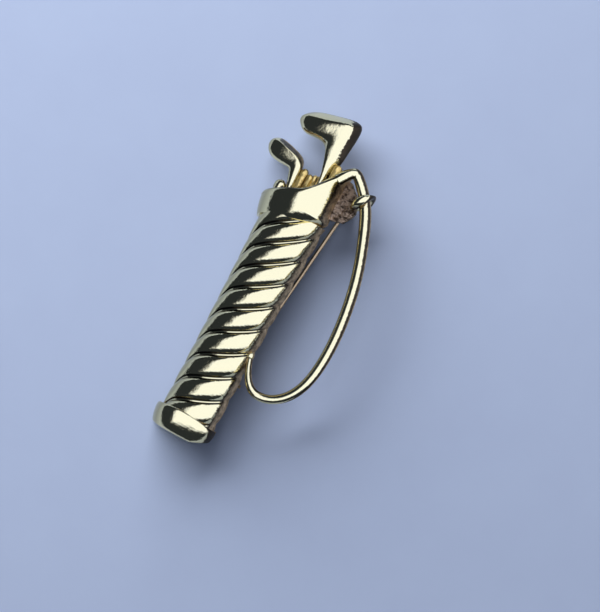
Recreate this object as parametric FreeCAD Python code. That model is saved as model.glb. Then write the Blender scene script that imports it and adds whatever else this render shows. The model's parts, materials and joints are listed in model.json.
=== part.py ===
"""Golf bag brooch: a cast, gold-plated lapel pin with a hinged stem and a turning catch.

Every piece of the casting is drawn in the bag's frame: x across the bag, y from its base
towards the clubs, z out of its front, with z = 0 on the flat rim of the hollow back. The
finished pieces are then laid on a table: tilted about y until they rest on the bag's left
rim, the joint and the catch, and moved so that the box round them is centred on the origin
and stands on z = 0. All sizes are in millimetres.
"""
import FreeCAD, Part
import math
import os

V = FreeCAD.Vector

# ---- driving dimensions ----------------------------------------------------------------

# barrel of the bag: half round, slightly flared, with twisted flutes
barrel_radius = 5.15
barrel_flare = 0.65
barrel_start = 2.4
barrel_length = 40.6
barrel_wall = 0.85
flute_first = 5.1
flute_pitch = 4.36
flute_pitch_loss = 0.024
flute_lead = 5.9
flute_lead_gain = 0.59
flute_depth = 0.95
flute_rim_depth = 0.35
flute_left_drop = 2.6

# base cap
cap_radius = 5.87
cap_shift = -0.25
cap_height = 3.9
cap_bow = 0.85
cap_edge_round = 1.3
cap_side_inset = 0.1
cap_swell = 0.15
cap_top_round = 0.75
cap_right_lift = 2.3
cap_lift_from = 133.0
cap_floor = 3.0

# collar with the slanted mouth, slipped over the end of the barrel
collar_radius = 6.45
collar_shift = -0.65
collar_overlap = 1.0
collar_height = 4.95
collar_bottom_slope = 0.19
collar_left_drop = 0.8
collar_lip = 0.9
collar_edge_round = 0.85
collar_swell = 0.05
collar_swell_drop = 0.1
collar_wall = 1.15
collar_waist = 0.35
mouth_slope = 0.42
mouth_curl = 4.5
mouth_bevel = 0.5
mouth_rim_round = 0.35
mouth_rim_rise = 0.12
mouth_floor_thickness = 0.6

# liner, the back panel that shows inside the mouth
liner_front = 2.5
liner_back = 0.5
liner_rise = 3.0

# clubs: the heads' lengths, and their reach above the middle of the mouth
shaft_radius = 0.55
driver_shaft_x = 1.85
driver_foot = 1.4
driver_length = 11.1
driver_reach = 15.75
driver_back = 0.9
driver_thickness = 3.9
putter_shaft_x = -2.55
putter_foot = 0.8
putter_length = 7.45
putter_reach = 6.85
putter_back = 1.35
putter_thickness = 3.0
butt_radius = 0.7
butt_rise = 2.0

# shoulder strap, hook, ring and web
strap_height = 1.3
strap_bow = 11.3
strap_top_radius = 1.08
strap_mid_radius = 1.0
strap_low_radius = 0.64
strap_end_radius = 0.47
hook_reach = 3.55
hook_fall = 2.85
hook_root_radius = 0.62
hook_end_radius = 0.9
ring_past_hook = 0.45
ring_below_hook = 1.2
ring_radius = 1.7
ring_wire_radius = 0.75
ring_heading = -38.0
ring_lean = 4.0
web_drop = 9.55
web_height = 7.8
web_reach = 3.6
web_root = 1.2
web_thickness = 1.1
boss_radius = 0.85
boss_height = 17.9
boss_sink = 0.38

# findings on the back
hinge_out = 1.1
hinge_rise = 3.7
hinge_drop = 2.17
catch_x = 3.1
catch_y = 14.0
catch_drop = 1.48
stem_radius = 0.325
stem_tip_radius = 0.06
stem_neck_radius = 0.45
stem_neck_from = 0.5
stem_neck_to = 1.9
stem_taper_lead = 0.8
stem_past_catch = 3.0
eye_radius = 0.95
eye_width = 0.9
ear_thickness = 0.55
ear_radius = 1.3
ear_clearance = 0.06
rivet_radius = 0.34
rivet_clearance = 0.03
rivet_head_radius = 0.62
rivet_head_height = 0.28
plate_thickness = 0.5
plate_length = 3.6
housing_radius = 1.2
housing_bore = 0.86
housing_length = 2.6
slot_width = 0.9
rotor_clearance = 0.05
rotor_bore = 0.44
tab_length = 1.0
tab_width = 0.8
flange_thickness = 0.55
bridge_length = 4.0
bridge_thickness = 1.5

# pose on the table and joints
resting_tilt = 15.0


# ---- half-round forms --------------------------------------------------------------------

across_spans = 12


def on_section(radius, shift, angle, y):
    """Point at this angle of the half-round section, from the left rim to the right one."""
    return V(shift - radius * math.cos(angle), y, radius * math.sin(angle))


def across_poles(point_at):
    """Spline over the bag from rim to rim, as its poles, knots and multiplicities."""
    steps = [i / across_spans for i in range(across_spans + 1)]
    curve = Part.BSplineCurve()
    curve.interpolate(Points=[point_at(math.pi * t) for t in steps], Parameters=steps)
    poles = curve.getPoles()
    poles[0].z = poles[-1].z = 0.0
    return poles, curve.getKnots(), curve.getMultiplicities()


def half_round(bands):
    """Closed solid under a stack of bands; a band is a list of rows, row(angle) -> point.

    The rows of one band are the poles of a Bezier profile. Bands share their border rows.
    """
    faces, left, right = [], [], []
    for rows in bands:
        built = [across_poles(row) for row in rows]
        knots, mults = built[0][1], built[0][2]
        degree = len(rows) - 1
        surface = Part.BSplineSurface()
        surface.buildFromPolesMultsKnots(
            [poles for poles, _, _ in built], [degree + 1] * 2, mults, [0, 1], knots,
            False, False, degree, 3)
        faces.append(surface.toShape())
        for side, index in ((left, 0), (right, -1)):
            profile = Part.BezierCurve()
            profile.setPoles([poles[index] for poles, _, _ in built])
            side.append(profile.toShape())
    ends = []
    for rows, end in ((bands[0][0], 0), (bands[-1][-1], -1)):
        poles, knots, mults = across_poles(rows)
        border = Part.BSplineCurve()
        border.buildFromPolesMultsKnots(poles, mults, knots, False, 3)
        chord = Part.LineSegment(poles[0], poles[-1]).toShape()
        ends.append(chord)
        faces.append(Part.makeRuledSurface(border.toShape(), chord))
    outline = Part.Wire(Part.__sortEdges__(left + right + ends))
    faces.append(Part.Face(outline))
    shell = Part.Shell(faces)
    shell.sewShape()
    solid = Part.Solid(shell)
    if solid.Volume < 0:
        solid.reverse()
    return solid


# a closed section is a ring of poles; its cubic spline runs inside them by this share
section_points = 12
section_angles = [2 * math.pi * i / section_points for i in range(section_points)]
pole_reach = 3 / (2 + math.cos(2 * math.pi / section_points))


def skin(sections):
    """Closed solid whose smooth skin is drawn by a row of closed sections of poles."""
    rows = len(sections)
    surface = Part.BSplineSurface()
    surface.buildFromPolesMultsKnots(
        sections, [4] + [1] * (rows - 4) + [4], [1] * (section_points + 1),
        list(range(rows - 2)), list(range(section_points + 1)), False, True, 3, 3)
    ends = [Part.Face(Part.Wire([surface.uIso(at).toShape()])) for at in (0, rows - 3)]
    shell = Part.Shell([surface.toShape()] + ends)
    shell.sewShape()
    solid = Part.Solid(shell)
    if solid.Volume < 0:
        solid.reverse()
    return solid


def round_section(centre, heading, radius):
    """Round section square to this heading, which lies level."""
    side = V(-heading.y, heading.x, 0)
    return [centre + (side * math.cos(angle) + V(0, 0, math.sin(angle))) * (radius * pole_reach)
            for angle in section_angles]


def round_bar(stations, height):
    """Round bar through (x, y, radius) stations at one height over the rim of the back."""
    sections = []
    for number, (x, y, radius) in enumerate(stations):
        before = stations[max(0, number - 1)]
        after = stations[min(number + 1, len(stations) - 1)]
        heading = V(after[0] - before[0], after[1] - before[1], 0).normalize()
        sections.append(round_section(V(x, y, height), heading, radius))
    return skin(sections)


def box_between(low, high):
    """Box from its lowest corner to its highest one."""
    return Part.makeBox(high[0] - low[0], high[1] - low[1], high[2] - low[2], V(*low))


def without(shape, *others):
    """The shape with each other solid cut out of it, so that the two meet face to face."""
    for other in others:
        shape = shape.cut(other)
    solids = sorted(shape.Solids, key=lambda s: -s.Volume)
    return solids[0]


# ---- barrel -------------------------------------------------------------------------------

barrel_end = barrel_start + barrel_length
flute_count = math.ceil((barrel_end - flute_first) / flute_pitch)
lobe_profile = ((0.0, 0.0), (0.2, 1.08), (0.5, 1.22), (0.8, 1.08), (1.0, 0.0))
groove_reference = math.radians(50.0)
drop_reach = math.radians(60.0)


def barrel_crest(y):
    """Radius over the crests of the flutes."""
    along = max(0.0, (y - barrel_start) / barrel_length)
    return barrel_radius + barrel_flare * along ** 2.2


def groove_y(number, angle):
    """Height of a groove: a steepening twist that drops away towards the left rim."""
    start = flute_first + flute_pitch * number - flute_pitch_loss * number * abs(number)
    lead = flute_lead + flute_lead_gain * number
    fall = max(0.0, 1 - angle / drop_reach) ** 2 * flute_left_drop
    return start + lead * (angle - groove_reference) / math.pi - fall


def flute_row(number, along, rise):
    """Row of poles of one flute, at a share of its pitch and of its height."""
    def point(angle):
        y = groove_y(number, angle) * (1 - along) + groove_y(number + 1, angle) * along
        depth = flute_rim_depth + (flute_depth - flute_rim_depth) * math.sin(angle)
        return on_section(barrel_crest(y) - depth * (1 - rise), 0.0, angle, y)
    return point


def cavity():
    """Tapered hollow of the back, from the base cap's floor to the end of the barrel."""
    low = barrel_radius - flute_depth - barrel_wall
    high = low + barrel_flare
    length = barrel_end - barrel_wall - cap_floor
    return Part.makeCone(low, high, length, V(0, cap_floor, 0), V(0, 1, 0))


def barrel():
    bands = [[flute_row(number, along, rise) for along, rise in lobe_profile]
             for number in range(-2, flute_count + 3)]
    reach = 2 * collar_radius
    keep = box_between((-reach, barrel_start, 0), (reach, barrel_end, reach))
    return half_round(bands).common(keep)


# ---- base cap -----------------------------------------------------------------------------

def cap_low(angle):
    """Lower edge, lifted towards the right rim."""
    lift_from = math.radians(cap_lift_from)
    return cap_right_lift * max(0.0, (angle - lift_from) / (math.pi - lift_from))


def cap_high(angle):
    """Upper edge, bowed up over the front."""
    return cap_height - cap_bow * (1 - math.sin(angle) ** 2)


def cap_row(along, inset):
    def point(angle):
        y = cap_low(angle) * (1 - along) + cap_high(angle) * along
        return on_section(cap_radius - inset, cap_shift, angle, y)
    return point


def base_cap():
    profile = ((0.0, cap_edge_round), (0.0, cap_side_inset), (0.4, -cap_swell), (1.0, 0.0),
               (1.0, cap_top_round))
    return half_round([[cap_row(along, inset) for along, inset in profile]])


# ---- collar -------------------------------------------------------------------------------

collar_bottom = barrel_end - collar_overlap
collar_side = collar_shift + collar_radius
mouth_height = collar_bottom + collar_height
mouth_floor = barrel_end + mouth_floor_thickness


def collar_low(angle):
    """Lower edge of the collar, falling away at the left rim."""
    x = -collar_radius * math.cos(angle)
    return collar_bottom + collar_bottom_slope * x - collar_left_drop * max(0.0, math.cos(angle)) ** 6


def mouth_y(angle):
    """Rim of the mouth, slanted up to the right and ever steeper beyond the middle."""
    side = -math.cos(angle)
    return mouth_height + mouth_slope * collar_radius * side + mouth_curl * max(0.0, side) ** 2


def collar_row(along, inset, low_offset=0.0, high_offset=0.0):
    """Row between the lower edge and the mouth; the right side is drawn in at its waist."""
    def point(angle):
        low = collar_low(angle) + low_offset
        high = mouth_y(angle) + high_offset
        y = low * (1 - along) + high * along
        side = max(0.0, -math.cos(angle))
        waist = collar_waist * side * math.sin(math.pi * min(1.0, max(0.0, along)))
        return on_section(collar_radius - inset - waist, collar_shift, angle, y)
    return point


def collar_block():
    """The collar before its mouth and its back are hollowed."""
    lip, bevel = collar_lip, mouth_bevel
    lower = [collar_row(0, collar_edge_round), collar_row(0, collar_swell, -collar_swell_drop),
             collar_row(0, -collar_swell, lip / 2), collar_row(0, 0.0, lip)]
    front = [collar_row(step / 3, 0.0, lip, -bevel) for step in range(4)]
    front[0] = lower[-1]
    rim = [front[-1], collar_row(1, 0.0, lip),
           collar_row(1, mouth_rim_round, lip, mouth_rim_rise), collar_row(1, collar_wall, lip)]
    return half_round([lower, front, rim])


def mouth_space(side_rise, front_rise):
    """The space inside the collar, as a half-round block, up to a height over the rim."""
    radius = collar_radius - collar_wall

    def floor_row(angle):
        return on_section(radius, collar_shift, angle, mouth_floor)

    def top_row(angle):
        rise = side_rise + (front_rise - side_rise) * math.sin(angle) ** 3
        return on_section(radius, collar_shift, angle, mouth_y(angle) + rise)

    return half_round([[floor_row, top_row]])


def liner():
    """Back panel of the mouth, a thick plate whose top edge follows the rim above it."""
    block = mouth_space(0.0, liner_rise)
    reach = 3 * collar_radius
    slab = box_between((-reach, 0, liner_back), (reach, reach * 4, liner_front))
    return block.common(slab)


# ---- clubs --------------------------------------------------------------------------------

back_share = 0.8


def club_section(left, right, middle, half_height):
    """Domed section between two points of the outline; its back is flatter than its front."""
    centre = V((left[0] + right[0]) / 2, (left[1] + right[1]) / 2, middle)
    reach = V(left[0], left[1], middle) - centre
    poles = []
    for angle in section_angles:
        rise = half_height * math.sin(angle) * (1.0 if math.sin(angle) > 0 else back_share)
        poles.append(centre + (reach * math.cos(angle) + V(0, 0, rise)) * pole_reach)
    return poles


def club(shaft_x, foot, length, reach, back, thickness, stations):
    """Shaft and head. A station has two points of the outline and its share of the height.

    The points are shares too: of the head's length, from the shaft towards the toe, and of
    the reach above the middle of the mouth.
    """
    half = thickness / 2
    middle = back + back_share * half
    sections = [club_section((shaft_x - shaft_radius, foot), (shaft_x + shaft_radius, foot),
                             middle, shaft_radius)]
    for left, right, height in stations:
        ends = [(shaft_x - out * length, mouth_height + up * reach) for out, up in (left, right)]
        sections.append(club_section(*ends, middle, height * half))
    return skin(sections)


def driver():
    neck = shaft_radius / (driver_thickness / 2)
    return club(driver_shaft_x, mouth_floor + driver_foot, driver_length, driver_reach,
                driver_back, driver_thickness, (
                    ((0.041, 0.206), (-0.054, 0.206), neck),
                    ((0.090, 0.333), (-0.090, 0.333), 0.45),
                    ((0.135, 0.448), (-0.171, 0.448), 0.70),
                    ((0.194, 0.537), (-0.171, 0.613), 0.85),
                    ((0.248, 0.575), (-0.212, 0.867), 1.0),
                    ((0.311, 0.597), (-0.086, 1.000), 1.0),
                    ((0.441, 0.597), (0.329, 0.927), 1.0),
                    ((0.613, 0.584), (0.581, 0.889), 0.92),
                    ((0.730, 0.632), (0.743, 0.822), 0.65),
                    ((0.788, 0.689), (0.788, 0.752), 0.25)))


def putter():
    neck = shaft_radius / (putter_thickness / 2)
    return club(putter_shaft_x, mouth_floor + putter_foot, putter_length, putter_reach,
                putter_back, putter_thickness, (
                    ((0.101, -0.051), (-0.047, -0.051), neck),
                    ((0.141, 0.153), (-0.034, 0.212), 0.45),
                    ((0.195, 0.328), (-0.040, 0.577), 0.65),
                    ((0.262, 0.409), (0.067, 0.796), 0.85),
                    ((0.497, 0.401), (0.376, 0.898), 1.0),
                    ((0.765, 0.431), (0.725, 1.000), 1.0),
                    ((0.906, 0.562), (0.886, 0.898), 0.65),
                    ((0.953, 0.664), (0.953, 0.810), 0.30)))


def spare_shafts():
    """Butts of the other clubs, which stand on the liner inside the mouth.

    Each has its place as a share of the mouth's half width, and shares of the butts' rise
    above the rim beside it and of their radius.
    """
    rods = []
    for place, rise, size in ((-0.736, 1.02, 1.03), (-0.179, 2.17, 0.97), (0.066, 1.58, 0.66),
                              (0.217, 1.43, 0.51), (0.764, 1.13, 1.11)):
        x = collar_shift + place * (collar_radius - collar_wall)
        radius = size * butt_radius
        top = mouth_y(math.acos(-place)) + rise * butt_rise
        rod = Part.makeCylinder(radius, top - mouth_floor - radius,
                                V(x, mouth_floor, liner_front), V(0, 1, 0))
        cap = Part.makeSphere(radius, V(x, top - radius, liner_front))
        rods.append(rod.fuse(cap).removeSplitter())
    return rods


# ---- strap, hook, ring and web --------------------------------------------------------------

shoulder = V(collar_side, mouth_y(math.pi), strap_height)
hook_end = shoulder + V(hook_reach, -hook_fall, 0)
ring_centre = hook_end + V(ring_past_hook, -ring_below_hook, 0)
ring_turn, ring_tip = math.radians(ring_heading), math.radians(ring_lean)
ring_axis = V(math.cos(ring_turn) * math.cos(ring_tip), math.sin(ring_turn) * math.cos(ring_tip),
              math.sin(ring_tip))
boss_centre = V(barrel_crest(boss_height) - boss_sink, boss_height, strap_height)


def past_ring(direction):
    """Block on one side of the ring's middle plane, where the hook meets the strap."""
    reach = 2 * ring_radius
    block = Part.makeBox(2 * reach, 2 * reach, reach, V(-reach, -reach, 0))
    block.Placement = FreeCAD.Placement(
        ring_centre, FreeCAD.Rotation(V(0, 0, 1), ring_axis * direction))
    return block


def strap():
    """Round strap from the hook down to the boss, bowed out beside the bag.

    A station has a share of the height between boss and hook, a share of the bow out of the
    line between them, and a radius.
    """
    line = hook_end - boss_centre
    stations = []
    for up, out, radius in (
            (1.022, -0.08, strap_top_radius * 0.85), (0.987, 0.03, strap_top_radius * 0.9),
            (0.934, 0.172, strap_top_radius),
            (0.787, 0.417, strap_mid_radius), (0.608, 0.674, strap_mid_radius),
            (0.392, 0.879, strap_mid_radius), (0.198, 0.988, strap_mid_radius * 0.97),
            (0.027, 1.003, strap_mid_radius * 0.92), (-0.081, 0.895, strap_low_radius * 1.3),
            (-0.141, 0.689, strap_low_radius * 1.15), (-0.157, 0.456, strap_low_radius),
            (-0.132, 0.252, strap_low_radius * 0.95), (-0.057, 0.089, strap_end_radius * 1.1),
            (0.003, 0.003, strap_end_radius)):
        point = boss_centre + line * up
        stations.append((point.x + out * strap_bow, point.y, radius))
    return round_bar(stations, strap_height).cut(past_ring(-1))


def hook():
    """Bent prong that carries the strap over from the tall side of the mouth."""
    growth = hook_end_radius - hook_root_radius
    stations = []
    for out, down, grown in ((-0.31, 0.79, 0.0), (-0.13, 0.44, 0.0), (0.01, 0.12, 0.0),
                             (0.16, -0.07, 0.07), (0.44, 0.24, 0.57), (0.74, 0.63, 0.86),
                             (0.95, 0.93, 1.0), (1.20, 1.33, 1.0), (1.40, 1.70, 1.0)):
        stations.append((shoulder.x + out * hook_reach, shoulder.y - down * hook_fall,
                         hook_root_radius + grown * growth))
    return round_bar(stations, strap_height).cut(past_ring(1))


def ring():
    """Ring round the end of the hook, leaned so that its near side stands forward."""
    return Part.makeTorus(ring_radius, ring_wire_radius, ring_centre, ring_axis)


web_foot = shoulder.y - web_drop


def web():
    """Flat tab beside the collar, which carries the joint on its underside."""
    root = -web_root / web_reach
    corners = []
    for out, up in ((root, 0.0), (root, 1.0), (0.167, 0.987), (0.889, 0.679), (1.0, 0.385),
                    (0.667, 0.103)):
        corners.append(V(collar_side + out * web_reach, web_foot + up * web_height, 0))
    face = Part.Face(Part.makePolygon(corners + corners[:1]))
    return face.extrude(V(0, 0, web_thickness))


# ---- joint ----------------------------------------------------------------------------------

hinge_point = V(collar_side + hinge_out, web_foot + hinge_rise, -hinge_drop)
catch_point = V(catch_x, catch_y, -catch_drop)
stem_direction = (catch_point - hinge_point).normalize()
hinge_direction = stem_direction.cross(V(0, 0, 1)).normalize()
stem_up = hinge_direction.cross(stem_direction)
level_direction = V(0, 0, 1).cross(hinge_direction)


def frame_at(origin, x_axis, y_axis, z_axis):
    """Placement that carries a local frame to this origin and these axes."""
    matrix = FreeCAD.Matrix(
        x_axis.x, y_axis.x, z_axis.x, origin.x, x_axis.y, y_axis.y, z_axis.y, origin.y,
        x_axis.z, y_axis.z, z_axis.z, origin.z, 0, 0, 0, 1)
    return FreeCAD.Placement(matrix)


def placed(shape, placement):
    """Copy of the shape, carried by the placement."""
    moved = shape.copy()
    moved.Placement = placement.multiply(moved.Placement)
    return moved


joint_frame = frame_at(hinge_point, hinge_direction, level_direction, V(0, 0, 1))
stem_frame = frame_at(hinge_point, hinge_direction, stem_direction, stem_up)
catch_frame = frame_at(catch_point, hinge_direction, stem_direction, stem_up)
ear_inner = eye_width / 2 + ear_clearance
ear_outer = ear_inner + ear_thickness


def across_cylinder(radius, x_from, x_to):
    """Cylinder along the hinge axis."""
    return Part.makeCylinder(radius, x_to - x_from, V(x_from, 0, 0), V(1, 0, 0))


def joint_bracket():
    """Plate soldered under the web, with two ears bent down round the stem's eye."""
    plate = box_between((-ear_outer, -plate_length / 2, hinge_drop - plate_thickness),
                        (ear_outer, plate_length / 2, hinge_drop))
    body = plate
    for x_from, x_to in ((-ear_outer, -ear_inner), (ear_inner, ear_outer)):
        upright = box_between((x_from, -ear_radius, 0),
                              (x_to, ear_radius, hinge_drop - plate_thickness))
        body = body.fuse(across_cylinder(ear_radius, x_from, x_to)).fuse(upright)
    body = body.removeSplitter()
    return body.cut(across_cylinder(rivet_radius, -ear_outer, ear_outer))


def joint_rivet():
    """Pin through the ears, headed at both ends."""
    shank = across_cylinder(rivet_radius, -ear_outer, ear_outer)
    heads = [across_cylinder(rivet_head_radius, -ear_outer - rivet_head_height, -ear_outer),
             across_cylinder(rivet_head_radius, ear_outer, ear_outer + rivet_head_height)]
    return shank.fuse(heads).removeSplitter()


catch_distance = (catch_point - hinge_point).Length
taper_from = catch_distance - housing_length / 2 - stem_taper_lead
stem_length = catch_distance + housing_length / 2 + stem_past_catch


def along_cone(radius_from, radius_to, y_from, y_to):
    """Cone along the stem."""
    return Part.makeCone(radius_from, radius_to, y_to - y_from, V(0, y_from, 0), V(0, 1, 0))


def along_cylinder(radius, y_from, y_to):
    """Cylinder along the stem."""
    return Part.makeCylinder(radius, y_to - y_from, V(0, y_from, 0), V(0, 1, 0))


def pin_stem():
    """Stem with a flat eye that turns on the rivet, a neck, and a long taper to its point."""
    eye = across_cylinder(eye_radius, -eye_width / 2, eye_width / 2)
    neck = along_cone(stem_neck_radius, stem_radius, stem_neck_from, stem_neck_to)
    shank = along_cylinder(stem_radius, stem_neck_to, taper_from)
    point = along_cone(stem_radius, stem_tip_radius, taper_from, stem_length)
    hole = across_cylinder(rivet_radius + rivet_clearance, -eye_width, eye_width)
    return eye.fuse([neck, shank, point]).removeSplitter().cut(hole)


# ---- catch ----------------------------------------------------------------------------------

def entry_slot(reach, y_from, y_to):
    """Slot from the stem's axis out of the side that faces away from the brooch."""
    half = slot_width / 2
    return box_between((-half, y_from, -reach), (half, y_to, 0))


def catch_housing():
    """Split tube with a foot, soldered to the bridge; the stem enters from outside."""
    half = housing_length / 2
    tube = along_cylinder(housing_radius, -half, half)
    foot = box_between((-housing_radius, -half, 0), (housing_radius, half, 2 * catch_drop))
    bore = along_cylinder(housing_bore, -half, half)
    return tube.fuse(foot).removeSplitter().cut(bore).cut(
        entry_slot(2 * housing_radius, -half, half))


def catch_rotor():
    """Split sleeve in the housing, with a flange and a thumb tab past its end."""
    half = housing_length / 2
    out = half + rotor_clearance
    sleeve = along_cylinder(housing_bore - rotor_clearance, -half, out)
    flange = along_cylinder(housing_radius, out, out + flange_thickness)
    tab = box_between((-housing_radius - tab_length, out, -tab_width / 2),
                      (0, out + flange_thickness, tab_width / 2))
    body = sleeve.fuse([flange, tab]).removeSplitter()
    length_out = out + flange_thickness
    return body.cut(along_cylinder(rotor_bore, -half, length_out)).cut(
        entry_slot(2 * housing_radius, -half, length_out))


def catch_bridge(hollow):
    """Bar left across the hollow of the back, which carries the catch."""
    reach = 2 * barrel_radius
    bar = box_between((-reach, catch_y - bridge_length / 2, 0),
                      (reach, catch_y + bridge_length / 2, bridge_thickness))
    return hollow.common(bar)


# ---- assembly -------------------------------------------------------------------------------

def bag_frame_pieces():
    """Every piece by its node name, in the frame of the bag."""
    hollow = cavity()
    cap_block = base_cap()
    block = collar_block()
    barrel_block = barrel()
    mouth = mouth_space(collar_radius, collar_radius)
    pieces = {}
    pieces["bag_barrel"] = without(barrel_block, cap_block, block, hollow)
    pieces["base_cap"] = without(cap_block, hollow)
    pieces["bag_collar"] = without(block, mouth, hollow)
    pieces["mouth_liner"] = without(liner(), pieces["bag_collar"])
    panel = pieces["mouth_liner"]
    pieces["driver_club"] = without(driver(), panel, block.cut(mouth))
    pieces["putter_club"] = without(putter(), panel, block.cut(mouth))
    standing = [panel, pieces["bag_collar"], pieces["driver_club"], pieces["putter_club"]]
    for number, rod in enumerate(spare_shafts(), 1):
        standing.append(without(rod, *standing))
        pieces[f"spare_shaft_{number}"] = standing[-1]
    pieces["strap_hook"] = without(hook(), block)
    cord = without(strap(), barrel_block, pieces["strap_hook"])
    pieces["shoulder_strap"] = cord
    pieces["strap_ring"] = without(ring(), pieces["strap_hook"], cord)
    pieces["joint_web"] = without(web(), block, pieces["strap_hook"], cord, pieces["strap_ring"])
    boss = Part.makeSphere(boss_radius, boss_centre)
    pieces["strap_boss"] = without(boss, barrel_block, cord)
    pieces["catch_bridge"] = catch_bridge(hollow)
    reach = 2 * collar_radius
    casting = box_between((-reach, 0, 0), (reach, mouth_height, reach))
    pieces["joint_bracket"] = placed(joint_bracket(), joint_frame)
    pieces["joint_rivet"] = placed(joint_rivet(), joint_frame)
    pieces["pin_stem"] = placed(pin_stem(), stem_frame)
    pieces["catch_housing"] = placed(catch_housing(), catch_frame).cut(casting)
    pieces["catch_rotor"] = placed(catch_rotor(), catch_frame)
    return pieces


def laid_on_table(pieces):
    """Placement that tilts the brooch and brings its box onto the origin."""
    tilt = FreeCAD.Placement(V(0, 0, 0), FreeCAD.Rotation(V(0, 1, 0), -resting_tilt))
    boxes = [placed(shape, tilt).optimalBoundingBox(False, False) for shape in pieces.values()]
    low = [min(getattr(b, side) for b in boxes) for side in ("XMin", "YMin", "ZMin")]
    high = [max(getattr(b, side) for b in boxes) for side in ("XMax", "YMax", "ZMax")]
    lift = V(-(low[0] + high[0]) / 2, -(low[1] + high[1]) / 2, -low[2])
    print("box", [round(h - l, 3) for l, h in zip(low, high)], "lift", lift)
    return FreeCAD.Placement(lift, FreeCAD.Rotation()).multiply(tilt)


def main():
    os.makedirs("parts", exist_ok=True)
    pieces = bag_frame_pieces()
    rest = laid_on_table(pieces)
    for name, shape in pieces.items():
        final = placed(shape, rest)
        box = final.optimalBoundingBox(False, False)
        print(f"{name:16s} solids {len(final.Solids)} valid {final.isValid()} "
              f"volume {final.Volume:8.3f} low {box.ZMin:6.3f}")
        final.exportStep(f"parts/{name}.step")
    for name, point, direction in (("hinge", hinge_point, hinge_direction),
                                   ("catch", catch_point, stem_direction)):
        at = rest.multVec(point)
        axis = rest.Rotation.multVec(direction)
        print(name, [round(c, 4) for c in at], [round(c, 6) for c in axis])


main()
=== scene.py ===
"""Golf bag brooch: a gold-plated lapel pin, face up on a sheet of paper.

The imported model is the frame. Each section below makes one piece of the brooch, in the
order in which the real one is put together: the cast bag, its mouth, the clubs, the strap
and its fittings, and then the pin and catch soldered to the back.
"""
import json
import math

import bmesh
import bpy
import numpy as np
from mathutils import Matrix, Vector


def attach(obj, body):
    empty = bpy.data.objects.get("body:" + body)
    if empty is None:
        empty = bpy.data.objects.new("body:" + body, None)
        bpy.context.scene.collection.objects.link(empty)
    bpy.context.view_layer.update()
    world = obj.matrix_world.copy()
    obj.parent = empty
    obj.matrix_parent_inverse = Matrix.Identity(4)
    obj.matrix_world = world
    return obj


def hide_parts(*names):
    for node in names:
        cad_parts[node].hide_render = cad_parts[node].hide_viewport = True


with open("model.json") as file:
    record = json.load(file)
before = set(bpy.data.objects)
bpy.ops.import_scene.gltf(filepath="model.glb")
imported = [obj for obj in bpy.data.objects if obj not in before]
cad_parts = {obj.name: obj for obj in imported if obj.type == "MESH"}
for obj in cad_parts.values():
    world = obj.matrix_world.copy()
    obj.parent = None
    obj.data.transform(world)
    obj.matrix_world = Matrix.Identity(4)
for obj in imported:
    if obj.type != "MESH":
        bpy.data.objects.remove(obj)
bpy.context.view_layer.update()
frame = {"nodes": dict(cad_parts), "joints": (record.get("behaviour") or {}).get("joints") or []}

# ---- paper -----------------------------------------------------------------------
# A sheet of smooth bluish-white paper, which the brooch lies on. Pressed from fine fibres, it
# is matt, with a faint mottle.


def linear(colour):
    """A colour written as sRGB hex, as Blender's linear RGBA."""
    parts = [int(colour[i:i + 2], 16) / 255 for i in (0, 2, 4)]
    return [c / 12.92 if c <= 0.04045 else ((c + 0.055) / 1.055) ** 2.4 for c in parts] + [1.0]


def add(tree, kind, inputs=None, **settings):
    """Adds a node with its settings. An input takes a value, a socket, or a node's first output."""
    made = tree.nodes.new(kind)
    for name, value in settings.items():
        setattr(made, name, value)
    for name, value in (inputs or {}).items():
        source = value.outputs[0] if isinstance(value, bpy.types.Node) else value
        if isinstance(source, bpy.types.NodeSocket):
            tree.links.new(source, made.inputs[name])
        else:
            made.inputs[name].default_value = source
    return made


def new_material(name):
    """An empty node material and its tree."""
    material = bpy.data.materials.new(name)
    material.use_nodes = True
    material.node_tree.nodes.clear()
    return material, material.node_tree


def as_mesh(work, name="drawn"):
    """The mesh of this work, which is freed."""
    mesh = bpy.data.meshes.new(name)
    work.to_mesh(mesh)
    work.free()
    return mesh


def put_in_scene(name, data):
    """A new object in the scene, which shows this mesh, curve, lamp or camera."""
    made = bpy.data.objects.new(name, data)
    bpy.context.scene.collection.objects.link(made)
    return made


MM = 0.001
paper_radius = 1400 * MM
paper_colour, paper_fibre = linear("C6D6F7"), linear("BFCEF0")
mottle_size, fibre_size, fibre_height = 14 * MM, 0.5 * MM, 0.02 * MM

paper, tree = new_material("Pressed wood-pulp paper")
place = add(tree, "ShaderNodeTexCoord").outputs["Object"]
mottle = add(tree, "ShaderNodeTexNoise", {"Vector": place, "Scale": 1 / mottle_size, "Detail": 6.0,
                                          "Roughness": 0.6})
tone = add(tree, "ShaderNodeMix", {0: mottle, 6: paper_colour, 7: paper_fibre}, data_type="RGBA")
fibre = add(tree, "ShaderNodeTexNoise", {"Vector": place, "Scale": 1 / fibre_size, "Detail": 3.0})
relief = add(tree, "ShaderNodeBump", {"Height": fibre, "Strength": 0.15,
                                      "Distance": fibre_height})
surface = add(tree, "ShaderNodeBsdfPrincipled", {
    "Base Color": tone.outputs[2], "Roughness": 0.9, "Specular IOR Level": 0.15, "Normal": relief})
add(tree, "ShaderNodeOutputMaterial", {"Surface": surface})

work = bmesh.new()
bmesh.ops.create_circle(work, cap_ends=True, segments=96, radius=paper_radius)
floor_mesh = as_mesh(work, "paper")
floor_mesh.materials.append(paper)
put_in_scene("paper", floor_mesh)

# ---- barrel of the bag -----------------------------------------------------------
# A half-round shell with a twist of raised flutes, cast in one with the whole front and then
# polished and gold plated. Its open back is a smooth trough.

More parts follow.
